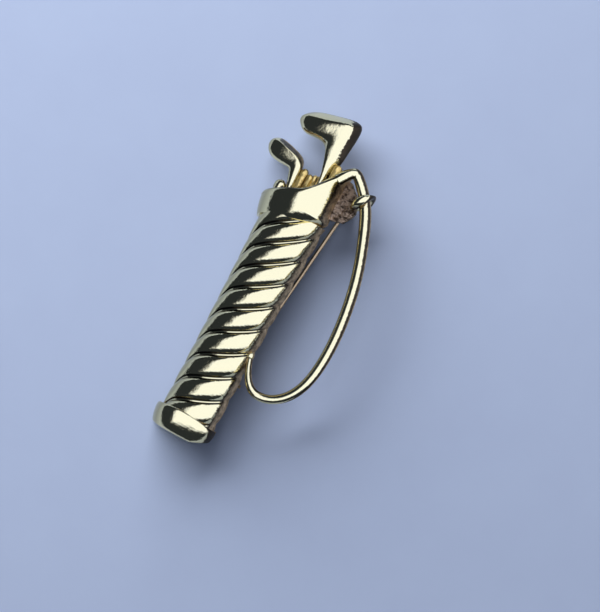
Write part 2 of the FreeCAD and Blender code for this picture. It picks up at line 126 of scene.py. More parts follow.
# The bag is drawn in millimetres in its own frame: x across, y from base to clubs, z out of
# its front. It rests tilted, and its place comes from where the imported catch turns.
resting_tilt = math.radians(15)
catch_in_bag = Vector((3.1, 14.0, -1.48))
turning = next(joint for joint in frame["joints"] if joint["name"] == "catch_lock")
tilt = Matrix.Rotation(-resting_tilt, 4, "Y")
bag_to_row = (Matrix.Translation(Vector(turning["pos_m"]) - tilt @ (catch_in_bag * MM))
              @ tilt @ Matrix.Scale(MM, 4))

barrel_radius, barrel_flare, flare_power = 5.15, 0.65, 2.2
barrel_start, barrel_length = 2.4, 40.6
first_groove, flute_pitch, flute_pitch_loss = 5.1, 4.36, 0.024
flute_lead, flute_lead_gain, flute_left_drop = 5.9, 0.59, 2.6
flute_depth, flute_rim_depth = 0.84, 0.35
# The last two shares of a flute's edge, and the slopes below, set the painted shade at the sides of
# each groove
flute_fullness, groove_floor, groove_shade_from, groove_shade_to = 3.2, 0.2, 0.80, 0.98
flute_bunching, flute_skew, twist_centre, drop_reach = -0.1, 1.1, math.radians(50), math.radians(60)
shade_slope, shade_end_slope = 20.0, 30.0
barrel_square = 2.2  # 2 would be a true circle; the shoulders of the section are a little full
trough_radius, trough_wall = 3.35, 0.85
back_gap, barrel_foot, cut_margin = 0.015, 3.05, 1e-5
barrel_end = barrel_start + barrel_length

# What buffed and plated castings show, per millimetre: slow waves, grain, fine pits, blotches,
# and the marks of the wheel, which are long and thin and run at a slant.
wave_rate, grain_rate, pit_rate, blotch_rate = 0.6, 2.6, 16.0, 1.2
mark_rates, mark_slant = (0.45, 5.5, 1.0), 0.35
mark_depth, pit_depth = 0.7, 0.05  # shares of the grain's depth
brightest, dullest, dark_side_roughness, brown_side_roughness = 0.8, 1.3, 0.3, 0.55
# Painted shade darkens the hollows, where Pointiness falls below the 0.5 of a flat place. The left
# side, turned to the table, gets a painted grey reflection of it. Past a ragged edge the steep
# right side gets a painted dark reflection, and then a painted brown one of the shadowed table.
painted_shade, painted_table_grey = "3C372C", "8A8468"
# Painted reflections of the steep right side, dark and then brown, and brown blotches that are
# partly stain
painted_dark_side, painted_brown_side, stain_and_shade_brown = "40372A", "CDB48C", "33281E"
hollow_from, hollow_to = 0.47, 0.40
shaded_from, shaded_to, shaded_share = -0.7, -1.0, 0.55
far_share, raggedness, dark_edge, brown_edge = 0.5, 0.35, (0.15, 0.22), (0.12, 0.30)
blotch_edge, brown_side_stain = (0.45, 0.60), 0.55


def gold_plate(name, colour, roughness, wave, grain, hollow_shade, stain=0.0, dark_side_angle=46, brown=8):
    """Gold plate over a casting: waviness left by polishing, fine grain, painted shade in the
    recesses. Past so many degrees the steep right side gets a painted reflection, dark at first and
    then brown."""
    material, tree = new_material(name)
    place = add(tree, "ShaderNodeTexCoord").outputs["Object"]
    place = add(tree, "ShaderNodeMapping", {
        "Vector": place, "Rotation": (0, resting_tilt, 0), "Scale": (1 / MM,) * 3,
        "Location": bag_to_row.inverted().to_translation()})
    slow = add(tree, "ShaderNodeTexNoise", {"Vector": place, "Scale": wave_rate, "Detail": 1.5})
    fast = add(tree, "ShaderNodeTexNoise", {"Vector": place, "Scale": grain_rate, "Detail": 3.0,
                                            "Roughness": 0.55})
    drawn = add(tree, "ShaderNodeMapping", {"Vector": place, "Rotation": (0, 0, mark_slant),
                                            "Scale": mark_rates})
    streak = add(tree, "ShaderNodeTexNoise", {"Vector": drawn, "Scale": 1.0, "Detail": 2.0})
    pits = add(tree, "ShaderNodeTexNoise", {"Vector": place, "Scale": pit_rate, "Detail": 3.0})
    relief = None
    for height, depth in ((slow, wave), (fast, grain), (streak, mark_depth * grain),
                          (pits, pit_depth * grain)):
        inputs = {"Height": height, "Strength": 1.0, "Distance": depth * MM}
        if relief:
            inputs["Normal"] = relief
        relief = add(tree, "ShaderNodeBump", inputs)
    # Painted shade: hollows found by Pointiness, and the darkness marked on the mesh as its recess,
    # take the dark colour
    hollow = add(tree, "ShaderNodeNewGeometry").outputs["Pointiness"]
    hollow = add(tree, "ShaderNodeMapRange", {0: hollow, 1: hollow_from, 2: hollow_to, 3: 0.0,
                                              4: hollow_shade})
    recess = add(tree, "ShaderNodeAttribute", attribute_name="recess").outputs["Fac"]
    hollow = add(tree, "ShaderNodeMath", {0: hollow, 1: recess}, operation="MAXIMUM")
    facing = add(tree, "ShaderNodeTexCoord").outputs["Normal"]
    facing = add(tree, "ShaderNodeSeparateXYZ", {0: facing})
    lean = add(tree, "ShaderNodeMath", {0: facing.outputs["X"], 1: facing.outputs["Z"]},
               operation="ARCTAN2")
    turned = add(tree, "ShaderNodeMath", {0: facing.outputs["Y"], 1: far_share,
                                          2: facing.outputs["X"]}, operation="MULTIPLY_ADD")
    turned = add(tree, "ShaderNodeMath", {0: turned, 1: facing.outputs["Z"]},
                 operation="ARCTAN2")
    ragged = add(tree, "ShaderNodeMath", {0: fast, 1: raggedness, 2: turned},
                 operation="MULTIPLY_ADD")
    # Painted reflections: past these turns the steep right side is painted dark, then brown like
    # the shadowed table; raw is the share of that painted brown
    dark_from, brown_from = math.radians(dark_side_angle), math.radians(dark_side_angle + brown)
    dark_side, raw = [add(tree, "ShaderNodeMapRange", {0: ragged, 1: turn + low, 2: turn + high})
                   for turn, (low, high) in ((dark_from, dark_edge), (brown_from, brown_edge))]
    blotch = add(tree, "ShaderNodeTexNoise", {"Vector": place, "Scale": blotch_rate,
                                              "Detail": 4.0, "Roughness": 0.6})
    blotch = add(tree, "ShaderNodeMapRange", {0: blotch, 1: blotch_edge[0], 2: blotch_edge[1]})
    # Brown blotches: a real stain where stain is given, and a painted reflection of the shadowed
    # table on the painted brown side
    stain_and_shade = add(tree, "ShaderNodeMath", {0: raw, 1: brown_side_stain, 2: stain},
                  operation="MULTIPLY_ADD")
    stain_and_shade = add(tree, "ShaderNodeMath", {0: stain_and_shade, 1: blotch}, operation="MULTIPLY")
    # Painted reflection: the left side, turned to the table, is greyed as if it mirrored it
    left_shade = add(tree, "ShaderNodeMapRange", {0: lean, 1: shaded_from, 2: shaded_to, 3: 0.0,
                                             4: shaded_share})
    shade = add(tree, "ShaderNodeMix", {0: hollow, 6: linear(colour), 7: linear(painted_shade)},
                data_type="RGBA")
    for share, tone in ((left_shade, painted_table_grey), (dark_side, painted_dark_side), (raw, painted_brown_side),
                        (stain_and_shade, stain_and_shade_brown)):
        shade = add(tree, "ShaderNodeMix", {0: share, 6: shade.outputs[2], 7: linear(tone)},
                    data_type="RGBA")
    dull = add(tree, "ShaderNodeMapRange", {0: fast, 1: 0.3, 2: 0.7, 3: roughness * brightest,
                                            4: roughness * dullest})
    dull = add(tree, "ShaderNodeMix", {0: dark_side, 2: dull, 3: max(dark_side_roughness, roughness)})
    dull = add(tree, "ShaderNodeMix", {0: raw, 2: dull, 3: brown_side_roughness})
    surface = add(tree, "ShaderNodeBsdfPrincipled", {
        "Base Color": shade.outputs[2], "Metallic": 1.0, "Roughness": dull.outputs[0],
        "Normal": relief})
    add(tree, "ShaderNodeOutputMaterial", {"Surface": surface})
    return material


# Polished gold plate: a mirror with the slight waves that a buffing wheel leaves on a casting
pale_gold, buffed = "F6E9B4", {"roughness": 0.08, "wave": 0.045, "grain": 0.020, "hollow_shade": 0.5}
polished_gold = gold_plate("Polished gold plate on a zinc casting", pale_gold, **buffed)

weld, sliver = 0.0015, 0.0005


def new_piece(name, mesh, material, slot, *nodes, body="brooch", crease=40.0, dirt=None):
    """Lays a mesh drawn in the bag's frame in place of these solids, with its creases kept. Its
    darkness gives how much painted shade each point gets, black along a rim or in a corner."""
    work = bmesh.new()
    work.from_mesh(mesh)
    bmesh.ops.remove_doubles(work, verts=work.verts, dist=weld)
    bmesh.ops.dissolve_degenerate(work, edges=work.edges, dist=sliver)
    bmesh.ops.recalc_face_normals(work, faces=work.faces)
    for face in work.faces:
        face.smooth = True
    for edge in work.edges:
        edge.smooth = not edge.is_manifold or edge.calc_face_angle() < math.radians(crease)
    # painted shade, kept on the mesh as its recess
    if dirt:
        recess = work.verts.layers.float.new("recess")
        for vert in work.verts:
            vert[recess] = dirt(vert.co)
    work.transform(bag_to_row)
    finished = as_mesh(work, name)
    finished.materials.clear()
    finished.materials.append(material)
    made = put_in_scene(name, finished)
    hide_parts(*nodes)
    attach(made, body)


def open_mesh(*strips):
    """Mesh of strips of quads; a strip is a list of rows of points, all of one length."""
    work = bmesh.new()
    for rows in strips:
        laid = [[work.verts.new(point) for point in row] for row in rows]
        for row, following in zip(laid, laid[1:]):
            for side in range(len(row) - 1):
                work.faces.new((row[side], row[side + 1], following[side + 1], following[side]))
    return work


def close_flat(work, keep=0.002):
    """Merges what meets and fills every open loop with a flat face."""
    bmesh.ops.remove_doubles(work, verts=work.verts, dist=keep)
    bmesh.ops.dissolve_degenerate(work, edges=work.edges, dist=keep / 4)
    bmesh.ops.edgeloop_fill(work, edges=[edge for edge in work.edges if edge.is_boundary])


def node_mesh(tree, values):
    """Plain mesh that a tree makes, with its named inputs set to these values."""
    carrier = put_in_scene("carrier", bpy.data.meshes.new("empty"))
    grown = carrier.modifiers.new("nodes", "NODES")
    grown.node_group = tree
    sockets = {item.name: item.identifier for item in tree.interface.items_tree
               if item.in_out == "INPUT"}
    for name, value in values.items():
        grown[sockets[name]] = value
    view = bpy.context.evaluated_depsgraph_get()
    mesh = bpy.data.meshes.new_from_object(carrier.evaluated_get(view))
    bpy.data.objects.remove(carrier)
    return mesh


# Each row of the rule is a result, an operation, and what it works on: a named input, an
# earlier result, or a number. Angles run from the left rim (0) to the right one (pi). Each
# groove gets painted shade at both sides and none along its narrow floor.
flute_rule = (
    ("angle", "MULTIPLY", "across", math.pi),
    ("lift", "SINE", "angle"),
    ("side", "COSINE", "angle"),
    ("flute", "FLOOR", "place"),
    ("share", "SUBTRACT", "place", "flute"),
    ("swing", "MULTIPLY", "share", 2 * math.pi),
    ("crowding", "SINE", "swing"),
    ("along", "MULTIPLY_ADD", "crowding", "Bunching", "share"),
    ("skewed", "POWER", "along", "Skew"),
    ("offset", "MULTIPLY_ADD", "skewed", 2.0, -1.0),
    ("edge", "ABSOLUTE", "offset"),
    ("fall", "POWER", "edge", "Fullness"),
    ("swell", "SUBTRACT", 1.0, "fall"),
    ("rise", "MAXIMUM", "swell", "Groove floor"),
    # painted shade at both sides of the groove, none on its floor
    ("dirt from", "SUBTRACT", "edge", "Shade from"),
    ("painted_shade", "MULTIPLY", "dirt from", "Shade slope"),
    ("dirt to", "SUBTRACT", "Shade to", "edge"),
    ("fading", "MULTIPLY", "dirt to", "Shade end slope"),
    ("dirt", "MINIMUM", "painted_shade", "fading"),
    ("depth gain", "SUBTRACT", "Flute depth", "Rim depth"),
    ("depth", "MULTIPLY_ADD", "depth gain", "lift", "Rim depth"),
    ("sunk", "SUBTRACT", 1.0, "rise"),
    ("valley", "MULTIPLY", "depth", "sunk"),
    ("turned", "SUBTRACT", "angle", "Twist centre"),
    ("turn", "DIVIDE", "turned", math.pi),
    ("lead", "MULTIPLY_ADD", "flute", "Lead gain", "Lead"),
    ("twist", "MULTIPLY_ADD", "lead", "turn", "First groove"),
    ("climb", "MULTIPLY_ADD", "flute", "Pitch", "twist"),
    ("size", "ABSOLUTE", "flute"),
    ("square", "MULTIPLY", "size", "flute"),
    ("loss", "MULTIPLY", "square", "Pitch loss"),
    ("slope", "DIVIDE", "angle", "Drop reach"),
    ("left", "SUBTRACT", 1.0, "slope"),
    ("near", "MAXIMUM", "left", 0.0),
    ("near square", "MULTIPLY", "near", "near"),
    ("drop", "MULTIPLY_ADD", "near square", "Left drop", "loss"),
    ("groove", "SUBTRACT", "climb", "drop"),
    ("next", "ADD", "flute", 1.0),
    ("next size", "ABSOLUTE", "next"),
    ("next square", "MULTIPLY", "next size", "next"),
    ("square gain", "SUBTRACT", "next square", "square"),
    ("step loss", "MULTIPLY", "square gain", "Pitch loss"),
    ("step twist", "MULTIPLY_ADD", "Lead gain", "turn", "Pitch"),
    ("step", "SUBTRACT", "step twist", "step loss"),
    ("y", "MULTIPLY_ADD", "step", "along", "groove"),
    ("past", "SUBTRACT", "y", "Start"),
    ("reach", "DIVIDE", "past", "Length"),
    ("inside", "MAXIMUM", "reach", 0.0),
    ("spread", "POWER", "inside", "Flare power"),
    ("crest", "MULTIPLY_ADD", "spread", "Flare", "Radius"),
    ("radius", "SUBTRACT", "crest", "valley"),
    ("fullness", "DIVIDE", 2.0, "Squareness"),
    ("width", "ABSOLUTE", "side"),
    ("full width", "POWER", "width", "fullness"),
    ("half", "MULTIPLY", "radius", "full width"),
    ("hand", "SIGN", "side"),
    ("leftward", "MULTIPLY", "half", "hand"),
    ("x", "MULTIPLY", "leftward", -1.0),
    ("up", "MAXIMUM", "lift", 0.0),
    ("full height", "POWER", "up", "fullness"),
    ("z", "MULTIPLY", "radius", "full height"),
)
flute_sizes = {
    "Radius": barrel_radius, "Flare": barrel_flare, "Flare power": flare_power,
    "Start": barrel_start, "Length": barrel_length, "First groove": first_groove,
    "Pitch": flute_pitch, "Pitch loss": flute_pitch_loss, "Lead": flute_lead,
    "Lead gain": flute_lead_gain, "Left drop": flute_left_drop, "Flute depth": flute_depth,
    "Rim depth": flute_rim_depth, "Squareness": barrel_square, "Fullness": flute_fullness,
    "Groove floor": groove_floor, "Shade from": groove_shade_from, "Shade to": groove_shade_to,
    "Shade slope": shade_slope, "Shade end slope": shade_end_slope, "Bunching": flute_bunching,
    "Skew": flute_skew, "Twist centre": twist_centre, "Drop reach": drop_reach,
}
flutes_below, flutes_spare, rows_per_flute, columns = 2, 3, 28, 170
flutes = math.ceil((barrel_end - first_groove) / flute_pitch) + flutes_below + flutes_spare

tree = bpy.data.node_groups.new("twisted_flutes", "GeometryNodeTree")
tree.interface.new_socket("Geometry", in_out="OUTPUT", socket_type="NodeSocketGeometry")
for name in flute_sizes:
    tree.interface.new_socket(name, in_out="INPUT", socket_type="NodeSocketFloat")
given = add(tree, "NodeGroupInput")
grid = add(tree, "GeometryNodeMeshGrid", {
    "Size X": 1.0, "Size Y": float(flutes), "Vertices X": columns + 1,
    "Vertices Y": flutes * rows_per_flute + 1})
spot = add(tree, "ShaderNodeSeparateXYZ", {0: add(tree, "GeometryNodeInputPosition")})
found = {name: given.outputs[name] for name in flute_sizes}
found["across"] = add(tree, "ShaderNodeMath", {0: spot.outputs["X"], 1: 0.5}, operation="ADD")
found["place"] = add(tree, "ShaderNodeMath", {
    0: spot.outputs["Y"], 1: flutes / 2 - flutes_below + cut_margin}, operation="ADD")
for result, operation, *values in flute_rule:
    found[result] = add(tree, "ShaderNodeMath", {
        i: found.get(value, value) if isinstance(value, str) else value
        for i, value in enumerate(values)}, operation=operation)
point = add(tree, "ShaderNodeCombineXYZ", {"X": found["x"], "Y": found["y"], "Z": found["z"]})
# the painted shade of the grooves is kept on the mesh as its recess
marked = add(tree, "GeometryNodeStoreNamedAttribute", {
    "Geometry": grid, "Name": "recess", "Value": found["dirt"]})
shaped = add(tree, "GeometryNodeSetPosition", {"Geometry": marked, "Position": point})
whole = add(tree, "GeometryNodeRealizeInstances", {"Geometry": shaped})
painted = add(tree, "GeometryNodeSetMaterial", {"Geometry": whole, "Material": polished_gold})
add(tree, "NodeGroupOutput", {0: painted})

skin = node_mesh(tree, flute_sizes)
work = bmesh.new()
work.from_mesh(skin)
for spot, direction in ((Vector((0, barrel_foot, 0)), Vector((0, 1, 0))),
                        (Vector((0, barrel_end, 0)), Vector((0, -1, 0))),
                        (Vector((0, 0, back_gap)), Vector((0, 0, 1)))):
    bmesh.ops.bisect_plane(work, geom=[*work.verts, *work.edges, *work.faces],
                           dist=cut_margin, plane_co=spot, plane_no=direction,
                           clear_inner=True)
# the trough: a tapered half round with flat ends, joined to the flutes by the rim of the back
trough_from, trough_to = barrel_foot + 0.1, barrel_end - trough_wall
trough_sides, trough_rings = 64, 40


def turns(count, whole=2 * math.pi):
    """Angles in this many steps, from nothing to the whole turn."""
    return [whole * i / count for i in range(count + 1)]


def trough_ring(y, radius):
    """Points round the trough at one height, just clear of the plane of the back."""
    return [Vector((-radius * math.cos(angle), y, back_gap + radius * math.sin(angle)))
            for angle in turns(trough_sides, math.pi)]


def flat_ring(y, radius):
    """Points straight across the back at one height."""
    return [Vector((-radius * (1 - 2 * i / trough_sides), y, back_gap))
            for i in range(trough_sides + 1)]


trough = [flat_ring(trough_from, trough_radius)]
for i in range(trough_rings + 1):
    share = i / trough_rings
    trough.append(trough_ring(trough_from + (trough_to - trough_from) * share,
                              trough_radius + barrel_flare * share))
trough.append(flat_ring(trough_to, trough_radius + barrel_flare))
inner = open_mesh(trough)
bmesh.ops.remove_doubles(inner, verts=inner.verts, dist=0.002)
for y in (barrel_foot, barrel_end):
    arc = [edge for edge in work.edges if edge.is_boundary
           and all(abs(vert.co.y - y) < 10 * cut_margin for vert in edge.verts)]
    tips = [vert for edge in arc for vert in edge.verts if vert.co.z < back_gap + 10 * cut_margin]
    tips.sort(key=lambda vert: vert.co.x)
    chord = work.edges.new((tips[0], tips[-1]))
    bmesh.ops.edgeloop_fill(work, edges=arc + [chord])
work.from_mesh(as_mesh(inner))
bmesh.ops.triangle_fill(work, use_beauty=True, normal=(0, 0, -1),
                        edges=[edge for edge in work.edges if edge.is_boundary])
new_piece("barrel", as_mesh(work), polished_gold, "plated_casting", "bag_barrel", crease=75.0)

# ---- base cap --------------------------------------------------------------------
# A plain rounded band across the foot of the bag, part of the same polished casting. Its lower
# edge is swept up at the right, where it meets the wall.

cap_radius, cap_shift, cap_height, cap_bow = 5.87, -0.25, 4.3, 0.85
cap_right_lift, cap_lift_from, cap_side_share = 1.1, math.radians(133), 0.35
cap_profile = ((0.0, 1.7), (0.0, 0.9), (0.45, 0.25), (0.8, -0.1), (1.0, 0.1), (1.0, 0.6))
cap_square, cap_lean = 2.15, -0.14
section_sides, front_steps, rim_steps = 160, 40, 16
angles = turns(section_sides, math.pi)


def on_section(radius, shift, angle, y, square=barrel_square, lean=0.0):
    """Point at this angle of a half-round section, from the left rim (0) to the right (pi). A
    lean moves the crown to the right."""
    side = -math.copysign(abs(math.cos(angle)) ** (2 / square), math.cos(angle))
    lift = max(0.0, math.sin(angle)) ** (2 / square)
    return Vector((shift + radius * side, y, radius * lift * (1 + lean * side * lift ** 2)))


def bezier(poles, share):
    """Point of the Bezier curve with these poles."""
    while len(poles) > 1:
        poles = [a.lerp(b, share) for a, b in zip(poles, poles[1:])]
    return poles[0]


def band(rows, steps):
    """Rows of points of a band whose profile is the Bezier curve of these rows of poles."""
    columns = [[row(angle) for row in rows] for angle in angles]
    return [[bezier(poles, i / steps) for poles in columns] for i in range(steps + 1)]


def chord_of(row):
    """The straight row across the back from one end of this row to the other."""
    return [row[0].lerp(row[-1], i / (len(row) - 1)) for i in range(len(row))]


def half_round(rows):
    """Closed mesh of these rows: flat at both ends and across the back."""
    work = open_mesh([chord_of(rows[0]), *rows, chord_of(rows[-1])])
    close_flat(work)
    return as_mesh(work)


def cap_row(along, inset):
    """Row between the cap's lower and upper edge, drawn in at its front and less at its sides."""
    def point(angle):
        lift = max(0.0, (angle - cap_lift_from) / (math.pi - cap_lift_from))
        high = cap_height - cap_bow * math.cos(angle) ** 2
        y = cap_right_lift * lift * (1 - along) + high * along
        front = cap_side_share + (1 - cap_side_share) * math.sin(angle)
        return on_section(cap_radius - inset * front, cap_shift, angle, y, cap_square,
                          cap_lean)
    return point


# The same plate, whose painted dark reflection runs further down the cap's right end, not brown
cap_gold = gold_plate("Polished gold plate on the foot cap", pale_gold, brown=28, **buffed)
cap_mesh = half_round(band([cap_row(along, inset) for along, inset in cap_profile], front_steps))
new_piece("foot_cap", cap_mesh, cap_gold, "plated_casting", "base_cap")

# ---- collar and mouth ------------------------------------------------------------
# The deep smooth band round the bag's mouth, polished like a mirror. It overlaps the end of
# the barrel with a rolled lip, and its rim slants up to the shoulder on the right.

collar_radius, collar_shift, collar_wall, collar_waist = 6.45, -0.65, 1.15, 0.3
collar_bottom, collar_slope, collar_left_drop = barrel_end - 1.4, 0.19, 0.6
collar_lip, collar_lip_left, collar_edge = 1.1, 3.8, 1.0
collar_square, collar_lean = 2.2, 0.10
mouth_height, mouth_slope, mouth_curl = collar_bottom + 5.35, 0.42, 4.5
mouth_bevel, mouth_round, mouth_rise = 0.9, 0.35, 0.10
mouth_floor = barrel_end + 0.6
collar_side = collar_shift + collar_radius


def mouth_y(angle):
    """Rim of the mouth, slanted up to the right and ever steeper beyond the middle."""
    side = -math.cos(angle)
    return mouth_height + mouth_slope * collar_radius * side + mouth_curl * max(0.0, side) ** 2


def collar_row(along, inset, lip_share=0.0, high_offset=0.0):
    """Row between the lip and the mouth; the right side is drawn in at its waist."""
    def point(angle):
        side = -math.cos(angle)
        lip = collar_lip + (collar_lip_left - collar_lip) * (1 - side) / 2
        low = (collar_bottom + collar_slope * collar_radius * side + lip_share * lip
               - collar_left_drop * max(0.0, -side) ** 6)
        y = low * (1 - along) + (mouth_y(angle) + high_offset) * along
        waist = collar_waist * max(0.0, side) * math.sin(math.pi * along)
        return on_section(collar_radius - inset - waist, collar_shift, angle, y, collar_square,
                          collar_lean)
    return point


lip = [collar_row(0, collar_edge), collar_row(0, 0.60, 0.15), collar_row(0, 0.18, 0.55),
       collar_row(0, 0.0, 1.0)]
front = [collar_row(i / 3, 0.0, 1.0, -mouth_bevel) for i in range(4)]
rim = [front[-1], collar_row(1, 0.0, 1.0), collar_row(1, mouth_round, 1.0, mouth_rise),
       collar_row(1, collar_wall, 1.0)]
collar_rows = [*band(lip, rim_steps), *band(front, front_steps)[1:], *band(rim, rim_steps)[1:]]
inner_rim = collar_rows[-1]  # from here the wall goes straight down to the mouth's floor
for share in (0.05, 0.35, 0.65, 0.95, 1.0):
    collar_rows.append([Vector((p.x, p.y + (mouth_floor - p.y) * share, p.z)) for p in inner_rim])

# The painted shade starts this far from the rim and from the face, and is full within its fade
rim_black, rim_fade, edge_black, edge_fade = 0.35, 0.2, 0.55, 0.15


def rim_shade(point):
    """Painted shade along the outer edge of the mouth's rim."""
    side = min(1.0, max(-1.0, (point.x - collar_shift) / collar_radius))
    out = math.hypot(point.x - collar_shift, point.z) - collar_radius
    return min((point.y - mouth_y(math.acos(-side)) + rim_black) / rim_fade,
               (out + edge_black) / edge_fade)


new_piece("mouth_collar", half_round(collar_rows), polished_gold, "plated_casting", "bag_collar",
          dirt=rim_shade)

# ---- liner -----------------------------------------------------------------------
# The wall behind the clubs inside the mouth. The mould leaves it crumpled, and a buff can't
# reach it, so its plate stays a deeper, rougher gold.

rough_gold = gold_plate("Rough gold plate in the recess", "FFDC86", roughness=0.36, wave=0.14,
                        grain=0.12, hollow_shade=0.35)
liner_front, liner_back, liner_rise, liner_dent = 2.5, 0.5, 3.0, 0.18
liner_margin, liner_rows, liner_columns, rounded_rows, rounding = 0.02, 60, 80, 12, 0.5
hollow_radius = collar_radius - collar_wall


def crumple(point, size, seed=0.0):
    """A rise of about -size to size, which changes over a millimetre or so."""
    wave = 0.0
    for scale, share in ((1.1, 0.5), (2.3, 0.32), (4.6, 0.18)):
        wave += share * (math.sin(scale * (2.1 * point.x + 0.7 * point.y) + seed)
                         * math.cos(scale * (1.3 * point.y - 0.9 * point.x) + 2.4 * seed))
    return wave * size


panel_front, panel_back = [], []
for row in range(liner_rows + 1):
    front_row, back_row = [], []
    for column in range(liner_columns + 1):
        angle = math.pi * (liner_margin + (1 - 2 * liner_margin) * column / liner_columns)
        x = collar_shift - hollow_radius * math.cos(angle)
        top = mouth_y(angle) + liner_rise * math.sin(angle) ** 3
        y = mouth_floor + (top - mouth_floor) * row / liner_rows
        depth = min(liner_front, hollow_radius * math.sin(angle))
        dent = Vector((x, y, 0))
        rounded = rounding * max(0.0, (row - liner_rows + rounded_rows) / rounded_rows) ** 3
        z = max(liner_back + 0.02, depth - rounded - liner_dent + crumple(dent, liner_dent))
        front_row.append(Vector((x, y, z)))
        back_row.append(Vector((x, y, min(liner_back, z - 0.01))))
    panel_front.append(front_row)
    panel_back.append(back_row)
around = [panel_back[0], *panel_front, *panel_back[::-1]]
work = open_mesh(around)
close_flat(work)
new_piece("crumpled_liner", as_mesh(work), rough_gold, "plated_recess", "mouth_liner")

# ---- clubs -----------------------------------------------------------------------
# Two clubs stand out of the mouth, a big-headed driver and a putter. Both are cast with the
# bag, smoothed by hand and polished, with a flat back and a domed front.

shaft_radius, back_share, ring_points = 0.55, 0.8, 12
pole_reach = 3 / (2 + math.cos(2 * math.pi / ring_points))
wall_poles = ((4, 1.2, 1.08), (5, 0.65, 0.38), (6, 0.0, -0.35), (7, 0.3, -0.9))


def end_to_end_weights(count, steps):
    """Weights of poles at each step along a cubic spline that runs from end to end."""
    knots = [0] * 3 + list(range(count - 2)) + [count - 3] * 3
    rows = []
    for step in range(steps + 1):
        at = min((count - 3) * step / steps, count - 3 - 1e-9)
        weights = [1.0 if knots[i] <= at < knots[i + 1] else 0.0 for i in range(count + 3)]
        for degree in (1, 2, 3):
            for i in range(count + 3 - degree):
                low, high = knots[i + degree] - knots[i], knots[i + degree + 1] - knots[i + 1]
                weights[i] = ((at - knots[i]) / low * weights[i] if low else 0.0) + (
                    (knots[i + degree + 1] - at) / high * weights[i + 1] if high else 0.0)
        rows.append(weights[:count])
    return np.array(rows)


def ring_weights(count, steps):
    """Weights of poles at each step round a closed cubic spline."""
    rows = np.zeros((steps + 1, count))
    for step in range(steps + 1):
        span, t = divmod(count * step / steps, 1)
        for offset, weight in enumerate(((1 - t) ** 3, 3 * t ** 3 - 6 * t ** 2 + 4,
                                         -3 * t ** 3 + 3 * t ** 2 + 3 * t + 1, t ** 3)):
            rows[step, (int(span) + offset) % count] += weight / 6
    return rows


def skin_mesh(sections, along, around):
    """Closed mesh under the smooth skin of a row of rings of poles."""
    points = np.einsum("ij,jkl,mk->iml", end_to_end_weights(len(sections), along),
                       np.array([[tuple(p) for p in ring] for ring in sections]),
                       ring_weights(len(sections[0]), around))
    work = open_mesh([[Vector(p) for p in row] for row in points])
    close_flat(work)
    return as_mesh(work)


def club_ring(left, right, middle, half_height, wall=0.0, skew=0.0):
    """Ring of poles between two points of the outline. Its back is flatter than its front; a
    steep wall at the right leaves a flat crest, and a skew moves the crest to the left."""
    centre = Vector(((left[0] + right[0]) / 2, (left[1] + right[1]) / 2, middle))
    reach = Vector((left[0], left[1], middle)) - centre
    ring = []
    for i in range(ring_points):
        turn = 2 * math.pi * i / ring_points
        rise = half_height * math.sin(turn) * (1.0 if math.sin(turn) > 0 else back_share)
        shift = math.cos(turn) + skew * max(0.0, math.sin(turn)) * (1 - abs(math.cos(turn)))
        ring.append(centre + (reach * shift + Vector((0, 0, rise))) * pole_reach)
    if wall:
        inward = reach.normalized() * wall
        for i, share, rise in wall_poles:
            ring[i] = centre - reach + inward * share + Vector((0, 0, half_height * rise))
    return ring


def club_mesh(shaft_x, foot, length, reach, back, thickness, wall, stations):
    """Shaft and head; a station has two points of the outline and its share of the height."""
    half = thickness / 2
    middle = back + back_share * half
    rings = [club_ring((shaft_x - shaft_radius, foot), (shaft_x + shaft_radius, foot), middle,
                       shaft_radius)]
    for left, right, height, steep, skew in stations:
        ends = [(shaft_x - out * length, mouth_height + up * reach) for out, up in (left, right)]
        rings.append(club_ring(*ends, middle, height * half, steep * wall, skew))
    return skin_mesh(rings, club_rings, club_sides)


# Hand-polished gold plate: the painted dark reflection starts sooner at the right, and the
# painted brown one hardly shows
club_gold = gold_plate("Hand-polished gold plate", pale_gold, dark_side_angle=32, brown=45, **buffed)
club_rings, club_sides = 150, 120
driver_shaft, driver_foot, driver_length, driver_reach = 1.85, mouth_floor + 1.4, 11.1, 15.75
driver_back, driver_thickness, driver_wall = 0.9, 3.9, 1.25
driver_stations = (
    ((0.041, 0.206), (-0.054, 0.206), 2 * shaft_radius / driver_thickness, 0, 0.5),
    ((0.090, 0.333), (-0.080, 0.333), 0.42, 0.7, 0.75),
    ((0.135, 0.448), (-0.155, 0.448), 0.62, 1.0, 0.8),
    ((0.194, 0.537), (-0.165, 0.613), 0.75, 1.05, 0.75),
    ((0.248, 0.575), (-0.205, 0.890), 0.85, 1.1, 0.45),
    ((0.311, 0.597), (-0.135, 0.995), 0.92, 1.3, 0.3),
    ((0.441, 0.597), (0.329, 0.927), 1.00, 1.3, 0.15),
    ((0.613, 0.584), (0.581, 0.889), 0.86, 1.0, 0.1),
    ((0.720, 0.632), (0.733, 0.822), 0.62, 0.5, 0),
    ((0.774, 0.689), (0.774, 0.752), 0.25, 0, 0))
driver_mesh = club_mesh(driver_shaft, driver_foot, driver_length, driver_reach, driver_back,
                        driver_thickness, driver_wall, driver_stations)
new_piece("driver", driver_mesh, club_gold, "plated_casting", "driver_club")

